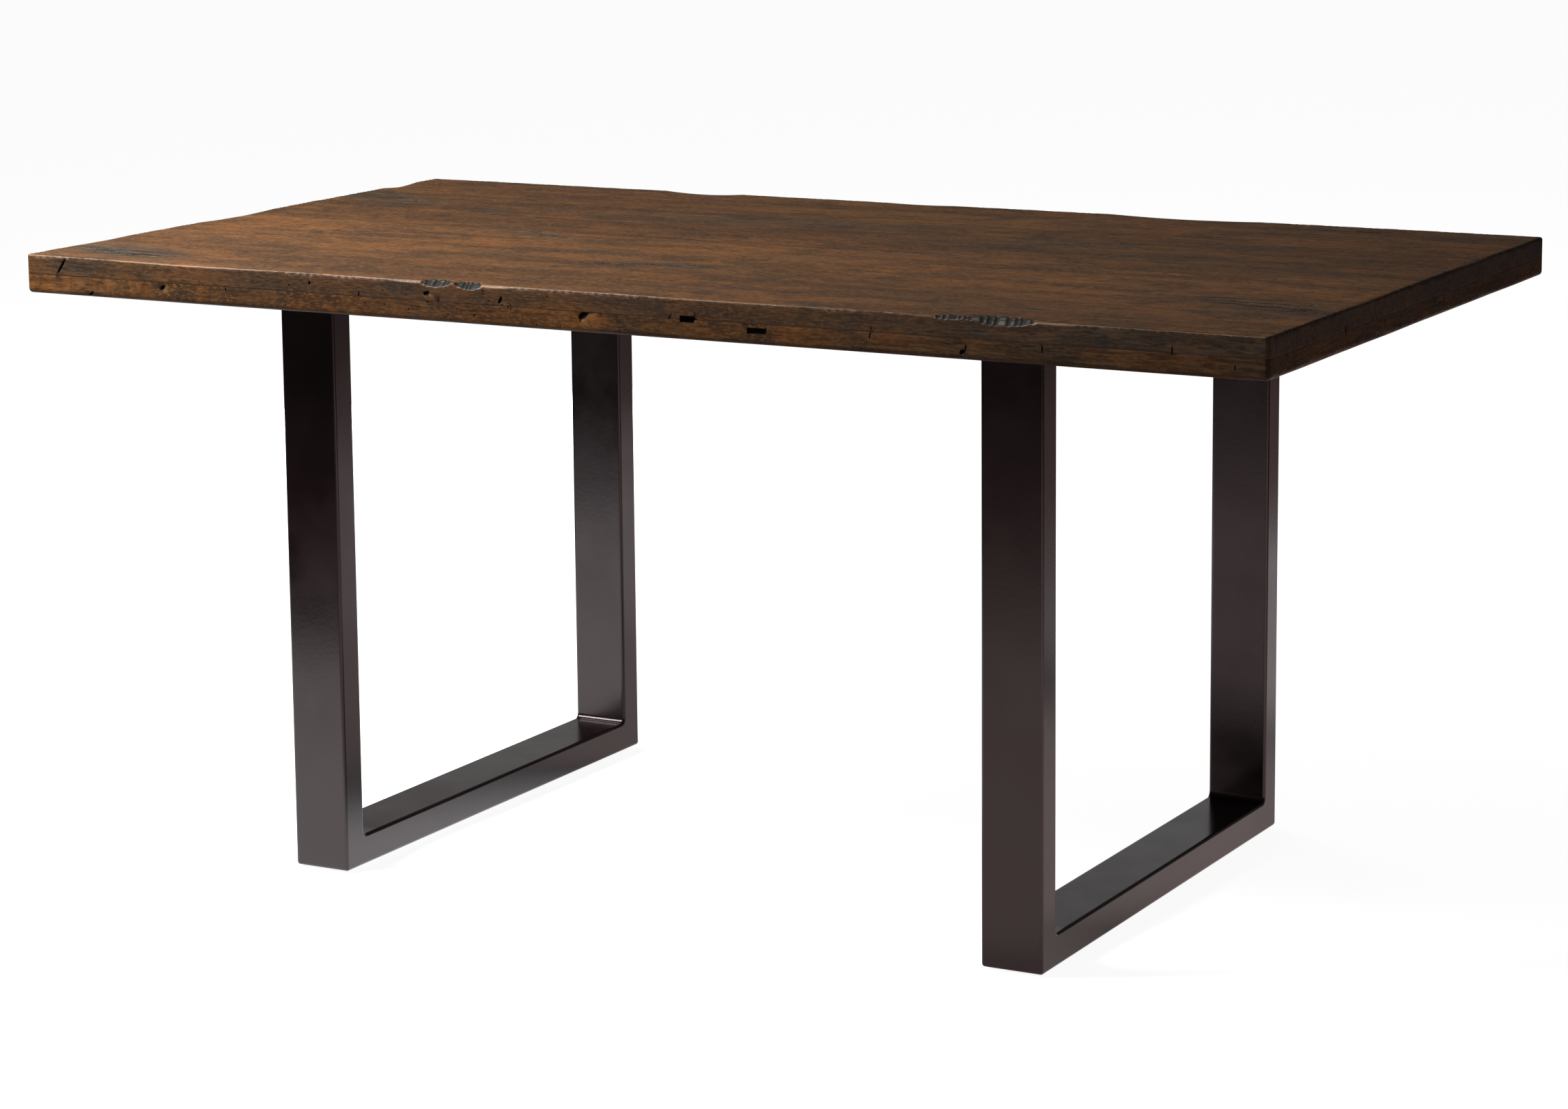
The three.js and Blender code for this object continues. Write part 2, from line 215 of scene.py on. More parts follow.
def front_marks():
    """Chisel cuts, nail slots and worm holes on the front edge, from its left end and top arris."""
    random = np.random.default_rng(23)
    marks = []

    def cut(along, down, length, width, depth, turn, section="check"):
        marks.append(Mark(LEFT + along, TOP - down, length / 2, width / 2, depth, turn, section))

    cut(54, 12.5, 27, 4.2, 2.4, 0.95)
    cut(206, 30, 10, 6.0, 2.2, 0.6)
    cut(98, 44, 12, 4.0, 1.6, 0.7)
    cut(420, 12, 6, 3.4, 1.8, 1.2)
    cut(583, 15, 10, 6.4, 2.6, 0.35)
    cut(684, 17, 11, 4.6, 2.6, 1.15)
    cut(795, 28, 16, 9.0, 3.0, 0.5)
    cut(930, 24, 18, 8.0, 2.8, 0.0, "slot")
    cut(1018, 32, 23, 7.0, 2.8, 0.0, "slot")
    cut(1271, 39, 8, 6.0, 2.6, 0.9)
    for along, down, height, lean in (
        (299, 25, 8, 1.57), (489, 23, 12, 1.35), (940, 21, 13, 1.5), (1030, 31, 9, 1.5),
        (1160, 25, 17, 1.4), (1275, 36, 12, 1.35), (1366, 29, 13, 1.57), (1516, 21, 11, 1.5),
        (1587, 35, 7, 1.5),
    ):
        cut(along, down, height, 1.9, 1.8, lean)
    for _ in range(34):
        size = random.uniform(0.6, 1.25)
        along = random.normal(640, 95)
        down = random.uniform(6, 43)
        cut(along, down, 2.2 * size, 2 * size, 1.4 * size, 0.0, "pit")
    return marks


def side_marks(seed, low, high, count):
    """A few ticks and worm holes along another edge of the top."""
    random = np.random.default_rng(seed)
    marks = []
    for _ in range(count):
        along = random.uniform(low + 30, high - 30)
        down = random.uniform(24, 40)
        turn = random.normal(1.45, 0.25)
        marks.append(Mark(along, TOP - down, random.uniform(2.5, 6), 1.0, 1.5, turn))
        along = random.uniform(low + 20, high - 20)
        down = random.uniform(5, 43)
        size = random.uniform(0.6, 1.1)
        marks.append(Mark(along, TOP - down, size, size, 1.3 * size, 0.0, "pit"))
    return marks


# Greyed and darkened areas of the top: middle from the left end and front edge, half length,
# half width, turn, and how dark. The last six darken the front and right edges. Of these, the long
# one on the right half of the front edge and the one down the right end are painted shade, where
# the light falls off; the other four darken short patches of the front edge.
STAINS_AND_SHADE = [
    (90, 677, 115, 62, -0.45, 0.75), (100, 74, 125, 58, -0.35, 0.95), (470, 432, 88, 34, -0.35, 0.35),
    (742, 226, 125, 30, 0.22, 0.55), (1148, 619, 110, 36, 0.40, 0.65), (1380, 862, 105, 34, 0.22, 0.55),
    (1530, 208, 120, 48, -0.35, 0.65), (700, 650, 240, 78, 0.0, 0.50), (520, 655, 120, 62, 0.1, 0.35),
    (830, 690, 130, 36, 0.0, 0.55), (290, 615, 42, 36, 0.3, 0.40), (370, 650, 22, 20, 0.0, 0.45),
    (35, 150, 24, 19, 0.2, 0.60), (1320, 84, 20, 14, 0.0, 0.60), (1456, 84, 26, 15, 0.0, 0.50),
    (500, 258, 70, 7, -0.12, 0.60), (530, 226, 120, 7, 0.06, 0.50), (640, 320, 60, 24, 0.3, 0.30),
    (1000, 560, 190, 50, 0.0, 0.30), (1290, 540, 160, 44, 0.05, 0.35), (1480, 480, 120, 30, 0.0, 0.30),
    (160, 215, 40, 12, 0.1, 0.35), (980, 330, 60, 30, 0.4, 0.20), (1540, 860, 80, 60, 0.3, 0.35),
    (260, 880, 200, 30, 0.0, 0.15), (1120, 120, 120, 40, 0.1, 0.15), (880, 60, 90, 40, 0.0, 0.15),
    # The first two here are painted shade: the right half of the front edge and the right end.
    (1500, -4, 480, 12, 0.0, 0.62), (1630, 457, 12, 600, 0.0, 0.30), (560, -4, 90, 12, 0.0, 0.30),
    (80, -4, 70, 12, 0.0, 0.45), (330, -4, 60, 12, 0.0, 0.30), (860, -4, 70, 12, 0.0, 0.25),
]


def stain_and_shade_share(p):
    """How stained each point of the top is, from 0 to 1, counting the painted shade along the front and
    right edges.
    """
    amount = np.zeros(len(p))
    for along, across, half_length, half_width, turn, dark in STAINS_AND_SHADE:
        dx = p[:, 0] - LEFT - along
        dy = p[:, 1] - FRONT - across
        s = (dx * math.cos(turn) + dy * math.sin(turn)) / half_length
        t = (dy * math.cos(turn) - dx * math.sin(turn)) / half_width
        inside = np.clip(1.25 - np.hypot(s, t), 0, 1)
        amount = np.maximum(amount, dark * inside * inside * (3 - 2 * inside))
    return amount


MARKS = {
    "top": top_marks(),
    "front": front_marks(),
    "back": side_marks(31, LEFT, RIGHT, 12),
    "left": side_marks(37, FRONT, BACK, 7),
    "right": side_marks(41, FRONT, BACK, 8),
    "under": [],
}


# ------------------------------------------------------------------ gouges along the upper edges

RIB_STEP = 1.5              # between points along a gouge with chatter
SMOOTH_STEP = 7.0           # and along one without
INWARD_STEP = 3.0           # the widest step into the top
CHATTER = 1.1               # height of the ribs


class Gouge:
    """A scoop out of an upper edge of the top, with tool chatter across it where rib is set."""

    def __init__(self, side, along, half_length, depth, reach, rib=0.0, phase=0.0):
        axis, sign, self.run, _ = FACES[side]
        self.axis = axis
        self.sign = sign
        self.edge = TOP_HIGH[axis] if sign > 0 else TOP_LOW[axis]
        self.along = TOP_LOW[self.run] + along
        self.half_length = half_length
        self.depth = depth
        self.reach = reach
        self.rib = rib
        self.phase = phase
        self.side = side

    def inward(self, p):
        return (self.edge - p[:, self.axis]) * self.sign

    def share(self, p):
        """0 outside the gouge, rising to 1 at the middle of the arris."""
        s = (p[:, self.run] - self.along) / self.half_length
        bow = np.clip(1 - s * s, 0, 1)
        reach = self.reach * np.sqrt(bow) + 1e-6
        return bow * np.clip(1 - self.inward(p) / reach, 0, 1)

    def ribs(self, p):
        """The chatter that the tool left, from 0 in a trough to 1 on a rib, unevenly spaced."""
        along = p[:, self.run] + 0.3 * self.inward(p)
        along = along + 2.4 * np.sin(0.19 * along + self.phase) + 1.2 * np.sin(0.43 * along)
        return np.abs(np.sin(math.pi * along / self.rib + self.phase)) ** 2.6

    def drop(self, p):
        share = self.share(p)
        drop = self.depth * share
        if self.rib:
            drop = drop + CHATTER * (0.4 - self.ribs(p)) * np.clip(share * 4, 0, 1)
        return np.clip(drop, 0, None)

    def points(self, side):
        """Points that hold the gouge's shape on the top, or on the edge that it runs out through."""
        step = RIB_STEP if self.rib else SMOOTH_STEP
        count = round(2 * self.half_length / step)
        along = np.linspace(self.along - self.half_length, self.along + self.half_length, count + 1)
        if side == "top":
            inward = np.arange(0, self.reach + step, min(step, INWARD_STEP))
            across = self.edge - self.sign * inward
        else:
            across = TOP - np.array([0.0, 1.2, 2.4, 4.0, 6.0, 9.0, RUN_OUT])
        u, v = np.meshgrid(along, across, indexing="ij")
        if side == "top" and self.run == 1:
            u, v = v, u
        return np.stack([u.ravel(), v.ravel()], 1)


GOUGES = [
    # side, middle along it, half length, depth, reach, rib spacing and phase
    Gouge("front", 596, 23, 6.4, 21, 9.0, 0.6),
    Gouge("front", 638, 21, 6.6, 18, 8.0, 2.0),
    Gouge("front", 562, 34, 2.0, 8),
    Gouge("front", 668, 34, 2.2, 8),
    Gouge("front", 1316, 44, 7.6, 25, 10.5, 1.1),
    Gouge("front", 1258, 24, 3.4, 11, 8.0, 0.4),
    Gouge("front", 1232, 30, 1.8, 8),
    Gouge("front", 1372, 36, 1.5, 8),
    Gouge("front", 250, 120, 0.9, 10),
    Gouge("front", 980, 90, 0.7, 8),
    Gouge("back", 440, 62, 3.0, 24),
    Gouge("back", 1150, 105, 2.4, 22),
    Gouge("back", 770, 50, 1.2, 14),
    Gouge("left", 435, 85, 2.2, 16),
    Gouge("left", 820, 40, 2.6, 18),
    Gouge("left", 150, 60, 1.0, 10),
    Gouge("right", 300, 90, 0.9, 9),
    Gouge("right", 660, 70, 1.1, 10),
]


# ------------------------------------------------------------------ from a box to a worn piece

def waves(x, y, seed):
    """Smooth, repeatable waves between about -1 and 1."""
    random = np.random.default_rng(seed)
    total = np.zeros_like(x)
    for _ in range(7):
        length = random.uniform(70, 420)
        angle = random.uniform(0, math.pi)
        phase = random.uniform(0, 2 * math.pi)
        total += np.sin(2 * math.pi * (x * math.cos(angle) + y * math.sin(angle)) / length + phase)
    return total / 4


def squared_to_round(a, b):
    """How much two overhangs past a rounding's centre shrink, to bring a square corner to a round."""
    both = (a > 0) & (b > 0)
    distance = np.where(both, np.hypot(a, b), 1)
    return np.where(both, np.maximum(a, b) / distance, 1)


def worn_shape(p):
    """Moves points on the squared top to its worn outline. Returns them, and how worn each is."""
    half = (TOP_HIGH[:2] - TOP_LOW[:2]) / 2
    middle = (TOP_HIGH[:2] + TOP_LOW[:2]) / 2
    out = p.copy()
    side = np.sign(p[:, :2] - middle)
    past = np.abs(p[:, :2] - middle) - (half - PLAN_RADIUS)
    shrink = squared_to_round(past[:, 0], past[:, 1])[:, None]
    round_corner = (past > 0).all(axis=1)
    kept = np.where(round_corner[:, None], past * shrink, past)
    out[:, :2] = middle + side * (half - PLAN_RADIUS + kept)
    along_x = past[:, 0] > past[:, 1]
    radial = kept / np.maximum(np.hypot(kept[:, 0], kept[:, 1]), 1e-9)[:, None]
    straight = np.stack([along_x, ~along_x], 1).astype(float)
    normal = side * np.where(round_corner[:, None], radial, straight)
    reach = np.where(round_corner, np.hypot(kept[:, 0], kept[:, 1]), past.max(axis=1))
    inward = PLAN_RADIUS - reach

    wear_and_highlight = np.zeros(len(p))
    vary = waves(p[:, 0], p[:, 1], 5)
    for edge, radius, sign in ((TOP, TOP_ARRIS + 0.7 * vary, 1), (UNDER, BOTTOM_ARRIS, -1)):
        s = radius - inward
        t = radius - sign * (edge - p[:, 2])
        both = (s > 0) & (t > 0)
        shrink = squared_to_round(s, t)
        out[:, :2] -= normal * np.where(both, s * (1 - shrink), 0)[:, None]
        out[:, 2] -= sign * np.where(both, t * (1 - shrink), 0)
        rounding = np.where(both, np.minimum(s, t) / radius, 0)
        wear_and_highlight = np.maximum(wear_and_highlight, rounding) if sign > 0 else wear_and_highlight
    wander = OUTLINE_WANDER * (0.5 + 0.5 * waves(p[:, 0], p[:, 1], 9))
    out[:, :2] -= normal * (wander * np.clip(1 - inward / 30, 0, 1))[:, None]
    return out, wear_and_highlight


def worked(p):
    """Cuts every mark, gouge and scraped wave into points on the squared top."""
    out, wear_and_highlight = worn_shape(p)
    hollow = np.zeros(len(p))
    raw = np.zeros(len(p))
    near_top = np.clip(1 - (TOP - p[:, 2]) / RUN_OUT, 0, 1)
    for gouge in GOUGES:
        out[:, 2] -= gouge.drop(p) * near_top
        if gouge.rib:
            share = np.clip((gouge.share(p) - 0.06) * 6, 0, 1)
            share = share * (p[:, 2] > TOP - TOUCH) * (gouge.inward(p) > 0.3)
            raw = np.maximum(raw, share * (0.45 + 0.55 * gouge.ribs(p)))
        elif gouge.side == "front":
            pale = min(gouge.depth / 2, 1) * np.clip(2 * gouge.share(p), 0, 1)
            wear_and_highlight = np.maximum(wear_and_highlight, pale * np.clip(1 - (TOP - p[:, 2]) / PALE_DEPTH, 0, 1))
    on_top = p[:, 2] > TOP - TOUCH
    scraped = SCRAPED_WAVES * (waves(p[:, 0], 2.5 * p[:, 1], 3) - 1)
    out[:, 2] += np.where(on_top, scraped, 0)
    for face, (axis, sign, u_axis, v_axis) in FACES.items():
        plane = TOP_HIGH[axis] if sign > 0 else TOP_LOW[axis]
        on_face = np.flatnonzero(np.abs(p[:, axis] - plane) < TOUCH)
        u = p[on_face, u_axis]
        v = p[on_face, v_axis]
        depth = np.zeros(len(on_face))
        dark = np.zeros(len(on_face))
        for mark in MARKS[face]:
            sink = mark.sink(u, v)
            depth = np.maximum(depth, mark.depth * sink)
            if mark.section == "scratch":
                wear_and_highlight[on_face] = np.maximum(wear_and_highlight[on_face], sink)
            else:
                dark = np.maximum(dark, sink)
        out[on_face, axis] -= sign * depth
        hollow[on_face] = np.maximum(hollow[on_face], dark)
    # Painted shade: on the right end's top arris the pale wear is taken out and the arris is darkened like
    # a glue seam, where shade falls.
    shaded_right_arris = np.where(p[:, 0] > RIGHT - PLAN_RADIUS, wear_and_highlight, 0)
    values = {"wear_and_highlight": wear_and_highlight - shaded_right_arris, "hollow": hollow, "raw": raw, "stain_and_shade": stain_and_shade_share(p), "seam_and_shade": shaded_right_arris}
    return out, values


ARRIS_ROWS = (0.9, 1.7, 2.4, 3.1, 4.2, 6.0)         # rows of points beside an outer arris
SEAM_ROWS = (0.9, 2.2)                              # and beside a glued seam
GRID_STEPS = {"top": (9.0, 9.0), "other": (11.0, 7.0)}      # plain rows, along u and along v


def grid_lines(low, high, step, outer_low, outer_high):
    """Places along one direction of a face, with rows close to each end where detail is."""
    count = max(1, round((high - low) / step))
    lines = list(np.linspace(low, high, count + 1))
    for rows, at_low in ((outer_low, True), (outer_high, False)):
        keep = max(rows, default=0) + 1.5
        lines = [
            value for value in lines
            if value in (low, high) or (value - low if at_low else high - value) > keep
        ]
        lines += [low + row if at_low else high - row for row in rows]
    return sorted(set(lines))


def end_rows(axis, low, high):
    """The rows beside a face's two ends along an axis: those of an outer arris, or of a seam."""
    ends = ((low[axis], TOP_LOW[axis]), (high[axis], TOP_HIGH[axis]))
    return [ARRIS_ROWS if abs(value - limit) < TOUCH else SEAM_ROWS for value, limit in ends]


def spread_points(face, low, high, shown):
    """The points that a face of one piece asks for, as (u, v)."""
    _, _, u_axis, v_axis = FACES[face]
    u0, u1, v0, v1 = low[u_axis], high[u_axis], low[v_axis], high[v_axis]
    if not shown:
        return np.array([(u, v) for u in (u0, u1) for v in (v0, v1)])
    u_step, v_step = GRID_STEPS["top" if face == "top" else "other"]
    u_lines = grid_lines(u0, u1, u_step, *end_rows(u_axis, low, high))
    v_lines = grid_lines(v0, v1, v_step, *end_rows(v_axis, low, high))
    u, v = np.meshgrid(u_lines, v_lines, indexing="ij")
    plain = np.stack([u.ravel(), v.ravel()], 1)
    detail = [mark.points() for mark in MARKS[face]]
    detail += [gouge.points(face) for gouge in GOUGES if face in ("top", gouge.side)]
    return np.concatenate(detail + [plain])


def thinned(points, kept):
    """Drops points that crowd one another, first come first kept; kept points always stay."""
    cells = {}
    for q in kept:
        cells.setdefault((int(q[0] // SPACING), int(q[1] // SPACING)), []).append(q)
    out = list(kept)
    for q in points:
        i, j = int(q[0] // SPACING), int(q[1] // SPACING)
        crowd = (
            other
            for a in (i - 1, i, i + 1)
            for b in (j - 1, j, j + 1)
            for other in cells.get((a, b), ())
        )
        if all(abs(other[0] - q[0]) + abs(other[1] - q[1]) > SPACING for other in crowd):
            cells.setdefault((i, j), []).append(q)
            out.append(q)
    return np.array(out)


def faces_of(low, high):
    """Which faces of a piece lie on the outside of the top."""
    shown = {}
    for face, (axis, sign, _, _) in FACES.items():
        value = high[axis] if sign > 0 else low[axis]
        limit = TOP_HIGH[axis] if sign > 0 else TOP_LOW[axis]
        shown[face] = abs(value - limit) < TOUCH
    return shown


def face_edges(face, low, high):
    """The four edges of a face of a piece. Each is given as which of (u, v) runs along it, the axis
    that it runs along, the other coordinate's value, and a key that both of its faces share."""
    axis, sign, u_axis, v_axis = FACES[face]
    for column, (run, other) in enumerate(((u_axis, v_axis), (v_axis, u_axis))):
        for limit in (low[other], high[other]):
            fixed = np.zeros(3)
            fixed[axis] = (high if sign > 0 else low)[axis]
            fixed[other] = limit
            yield column, run, limit, (run, *np.round(fixed, 3))


def squared_piece(low, high):
    """A box as points and triangles, with points where its outer faces need them."""
    shown = faces_of(low, high)
    asked = {face: spread_points(face, low, high, shown[face]) for face in FACES}
    stations = {}
    for face, q in asked.items():
        for column, _, limit, key in face_edges(face, low, high):
            near = np.abs(q[:, 1 - column] - limit) < SNAP
            stations.setdefault(key, set()).update(np.round(q[near, column], 3))

    points, index, triangles = [], {}, []

    def number(p):
        key = tuple(np.round(p, 3))
        if key not in index:
            index[key] = len(points)
            points.append(p)
        return index[key]

    for face, (axis, sign, u_axis, v_axis) in FACES.items():
        border = set()
        for column, run, limit, key in face_edges(face, low, high):
            clear = [low[run]]
            for place in sorted(stations[key]):
                if place - max(clear[-1], low[run] + SNAP - SPACING) > SPACING and place < high[run] - SNAP:
                    clear.append(place)
            for place in clear + [high[run]]:
                q = (place, limit) if column == 0 else (limit, place)
                border.add(tuple(np.round(q, 3)))
        q = asked[face]
        face_low = np.array([low[u_axis], low[v_axis]])
        face_high = np.array([high[u_axis], high[v_axis]])
        inner = q[((q > face_low + SNAP) & (q < face_high - SNAP)).all(axis=1)]
        flat = thinned(inner, np.array(sorted(border)))
        made, _, found, *_ = delaunay_2d_cdt([Vector(q) for q in flat], [], [], 0, 1e-5)
        numbers = []
        for a, b in made:
            p = [0.0, 0.0, 0.0]
            p[axis] = (high if sign > 0 else low)[axis]
            p[u_axis] = a
            p[v_axis] = b
            numbers.append(number(tuple(p)))
        right_handed = (axis, u_axis, v_axis) in ((2, 0, 1), (0, 1, 2))
        outward = right_handed == (sign > 0)
        for corners in found:
            a, b, c = (numbers[i] for i in corners)
            if len({a, b, c}) == 3:
                triangles.append((a, b, c) if outward else (a, c, b))
    return np.array(points), triangles


def mesh_object(name, points_mm, polygons, material, smooth_angle):
    mesh = bpy.data.meshes.new(name)
    mesh.from_pydata([tuple(p) for p in np.asarray(points_mm) * MM], [], [tuple(f) for f in polygons])
    mesh.validate()
    mesh.polygons.foreach_set("use_smooth", [True] * len(mesh.polygons))
    mesh.set_sharp_from_angle(angle=math.radians(smooth_angle))
    piece = bpy.data.objects.new(name, mesh)
    bpy.context.scene.collection.objects.link(piece)
    mesh.materials.append(material)
    return piece


def add_values(piece, values):
    for name, numbers in values.items():
        layer = piece.data.attributes.new(name, "FLOAT", "POINT")
        layer.data.foreach_set("value", np.asarray(numbers, dtype=np.float32))


def seam_share(p, low, high):
    """1 on the arrises where a piece meets its neighbour on an outer face, 0 a little way in."""
    seam_and_shade = np.zeros(len(p))
    for axis in range(3):
        for value, limit in ((low[axis], TOP_LOW[axis]), (high[axis], TOP_HIGH[axis])):
            if abs(value - limit) > TOUCH:
                seam_and_shade = np.maximum(seam_and_shade, (np.abs(p[:, axis] - value) < TOUCH).astype(float))
    return seam_and_shade * np.where(p[:, 2] > TOP - TOUCH, SEAM_ON_TOP, 1.0)


def wooden_piece(node, material):
    low, high = box_mm(node)
    squared, triangles = squared_piece(low, high)
    shaped, values = worked(squared)
    seam_and_shade = seam_share(squared, low, high)
    # The dark glue seams join the painted shade on the right end's top arris.
    values["seam_and_shade"] = np.maximum(values["seam_and_shade"], seam_and_shade)
    for axis, (limit_low, limit_high) in enumerate(zip(TOP_LOW, TOP_HIGH)):
        for limit, sign in ((limit_low, 1), (limit_high, -1)):
            on_face = (np.abs(squared[:, axis] - limit) < TOUCH) & (seam_and_shade > 0)
            shaped[on_face, axis] += sign * SEAM_SINK
    piece = mesh_object(f"worn_{node}", shaped, triangles, material, 38)
    add_values(piece, values)
    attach(piece, "root")
    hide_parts(node)


# ------------------------------------------------------------------ node materials

class Tree:
    """A node material, with short ways to add what the materials here are made of."""

    def __init__(self, name):
        self.material = bpy.data.materials.new(name)
        self.material.use_nodes = True
        self.nodes = self.material.node_tree.nodes
        self.links = self.material.node_tree.links
        self.shader = self.nodes["Principled BSDF"]

    def add(self, kind, inputs=None, output=0, **settings):
        node = self.nodes.new(kind)
        for key, value in settings.items():
            setattr(node, key, value)
        for key, value in (inputs or {}).items():
            self.put(node.inputs[key], value)
        return node.outputs[output]

    def put(self, socket, value):
        if isinstance(value, bpy.types.NodeSocket):
            self.links.new(value, socket)
        else:
            socket.default_value = value

    def set(self, **inputs):
        for key, value in inputs.items():
            self.put(self.shader.inputs[key.replace("_", " ")], value)

    def place(self, offset=(0, 0, 0), scale=(1, 1, 1)):
        """Where a point is on the object, in metres, moved and stretched."""
        where = self.add("ShaderNodeTexCoord", output="Object")
        return self.add("ShaderNodeMapping", {"Vector": where, "Location": offset, "Scale": scale})

    def noise(self, vector, scale=1.0, detail=2.0, roughness=0.5, distortion=0.0):
        return self.add("ShaderNodeTexNoise", {
            "Vector": vector, "Scale": scale, "Detail": detail,
            "Roughness": roughness, "Distortion": distortion,
        }, output="Fac")

    def value(self, name):
        return self.add("ShaderNodeAttribute", output="Fac", attribute_name=name)

    def step(self, value, low, high, to_low=0.0, to_high=1.0):
        """Brings a value from low..high to to_low..to_high, smoothly, and holds it there."""
        return self.add("ShaderNodeMapRange", {
            "Value": value, "From Min": low, "From Max": high, "To Min": to_low, "To Max": to_high,
        }, interpolation_type="SMOOTHSTEP")

    def math(self, operation, a, b, c=0.5):
        return self.add("ShaderNodeMath", {0: a, 1: b, 2: c}, operation=operation)

    def mix(self, share, a, b, blend="MIX"):
        return self.add("ShaderNodeMix", {"Factor": share, "A": a, "B": b}, output="Result",
                        data_type="RGBA", blend_type=blend)

    def bump(self, height, strength, distance):
        inputs = {"Height": height, "Strength": strength, "Distance": distance}
        return self.add("ShaderNodeBump", inputs, output="Normal")


def rgb(r, g, b):
    return (r, g, b, 1.0)


def stained_wood(name, seed, along="X", tone=1.0, figure=0.35, warmth=0.5, pores=0.72, redden=0.0,
                 gloss=0.32):
    """Dark-stained wood with its grain along X or Y. tone lightens it, figure curls it."""
    tree = Tree(name)
    stretch = (lambda a, b: (a, b, b)) if along == "X" else (lambda a, b: (b, a, b))
    offset = (0.37 * seed, 0.61 * seed, 0.29 * seed)
    where = tree.add("ShaderNodeTexCoord", output="Object")
    wander = tree.add("ShaderNodeTexNoise", {
        "Vector": tree.place(offset, stretch(2.2, 7.0)), "Scale": 1.0, "Detail": 2.0,
    }, output="Color")
    sway = tree.add("ShaderNodeVectorMath", {0: wander, 1: (0.5, 0.5, 0.5)}, operation="SUBTRACT")
    sway = tree.add("ShaderNodeVectorMath", {0: sway, 1: (0.05, 0.05, 0.05)}, operation="MULTIPLY")
    bent = tree.add("ShaderNodeVectorMath", {0: where, 1: sway}, operation="ADD")

    def grain(a, b, detail=3.0, roughness=0.55, distortion=0.0):
        mapped = tree.add("ShaderNodeMapping", {
            "Vector": bent, "Location": offset, "Scale": stretch(a, b),
        })
        return tree.noise(mapped, 1.0, detail, roughness, distortion)

    def share(amount, factor):
        return tree.math("MULTIPLY", amount, factor)

    def shade(r, g, b):
        return rgb(r * tone * (1 + redden), g * tone, b * tone * (1 - redden))

    bands = grain(2.0, 30.0, 4.0, 0.6)
    streaks = grain(9.0, 190.0, 3.0, 0.6)
    fine = grain(60.0, 850.0, 2.0, 0.6)
    dashes = grain(42.0, 430.0, 2.0, 0.6)
    mottle = grain(150.0, 400.0, 3.0, 0.65)
    clouds = grain(7.0, 14.0, 4.0, 0.62, 0.5)
    soot = grain(12.0, 20.0, 5.0, 0.65, 0.6)
    curl = grain(36.0, 13.0, 3.0, 0.6, 0.6)
    curl_zone = grain(3.0, 6.0, 1.0)

    colour = tree.mix(tree.step(bands, 0.36, 0.64),
                      shade(0.098, 0.042, 0.0160), shade(0.180, 0.081, 0.0290))
    colour = tree.mix(share(tree.step(clouds, 0.47, 0.62), warmth), colour, shade(0.255, 0.098, 0.0260))
    colour = tree.mix(share(tree.step(streaks, 0.45, 0.64), 0.62), colour, shade(0.064, 0.030, 0.013))
    colour = tree.mix(share(tree.step(soot, 0.50, 0.63), 0.48 + 0.45 * figure), colour,
                      shade(0.046, 0.028, 0.016))
    curled = share(tree.step(curl, 0.44, 0.64), tree.step(curl_zone, 0.40, 0.60))
    colour = tree.mix(share(curled, figure), colour, shade(0.045, 0.025, 0.013))
    colour = tree.mix(share(tree.step(mottle, 0.48, 0.66), 0.48), colour, shade(0.270, 0.132, 0.052))
    colour = tree.mix(share(tree.step(mottle, 0.48, 0.32), 0.50), colour, shade(0.034, 0.018, 0.010))
    colour = tree.mix(share(tree.step(fine, 0.53, 0.64), pores), colour, shade(0.026, 0.013, 0.007))

    # Greyed stains, and the painted shade along the right half of the front edge and down the right end.
    stain_and_shade = share(tree.value("stain_and_shade"), tree.step(soot, 0.30, 0.62, 0.55, 1.25))
    greyed = tree.mix(tree.step(streaks, 0.42, 0.60),
                      shade(0.112, 0.079, 0.050), shade(0.040, 0.029, 0.020))
    greyed = tree.mix(tree.step(dashes, 0.50, 0.58), greyed, shade(0.018, 0.014, 0.011))
    colour = tree.mix(stain_and_shade, colour, greyed)
    wear_and_highlight = tree.step(tree.value("wear_and_highlight"), 0.58, 0.98)
    patchy = tree.step(grain(3.0, 6.0, 2.0), 0.36, 0.60, 0.25, 1.0)
    colour = tree.mix(share(share(wear_and_highlight, patchy), 0.70), colour, shade(0.40, 0.215, 0.110))
    # Dark glue seams, and the painted shade on the right end's top arris.
    seam_and_shade = tree.step(tree.value("seam_and_shade"), 0.0, 1.0)
    colour = tree.mix(share(seam_and_shade, 0.72), colour, rgb(0.014, 0.008, 0.005))
    raw = tree.value("raw")
    splinter = tree.math("ADD", raw, tree.math("MULTIPLY_ADD", streaks, 0.9, -0.45))
    torn = tree.mix(tree.step(splinter, 0.80, 1.20), rgb(0.011, 0.011, 0.010), rgb(0.190, 0.162, 0.126))
    colour = tree.mix(tree.step(raw, 0.10, 0.42), colour, torn)
    hollow = tree.value("hollow")
    colour = tree.mix(tree.step(hollow, 0.0, 0.30, 0.0, 0.98), colour, rgb(0.004, 0.0032, 0.0027))

    rough = tree.step(streaks, 0.3, 0.7, 0.42, 0.58)
    rough = tree.math("ADD", rough, share(tree.math("ADD", tree.step(hollow, 0.0, 0.2), raw), 0.45))
    height = tree.math("ADD", share(fine, 0.6), tree.math("ADD", share(streaks, 0.8), share(mottle, 0.35)))
    tree.set(Base_Color=colour, Roughness=rough, Normal=tree.bump(height, 0.28, 0.0012))
    tree.set(Specular_IOR_Level=gloss)
    return tree.material


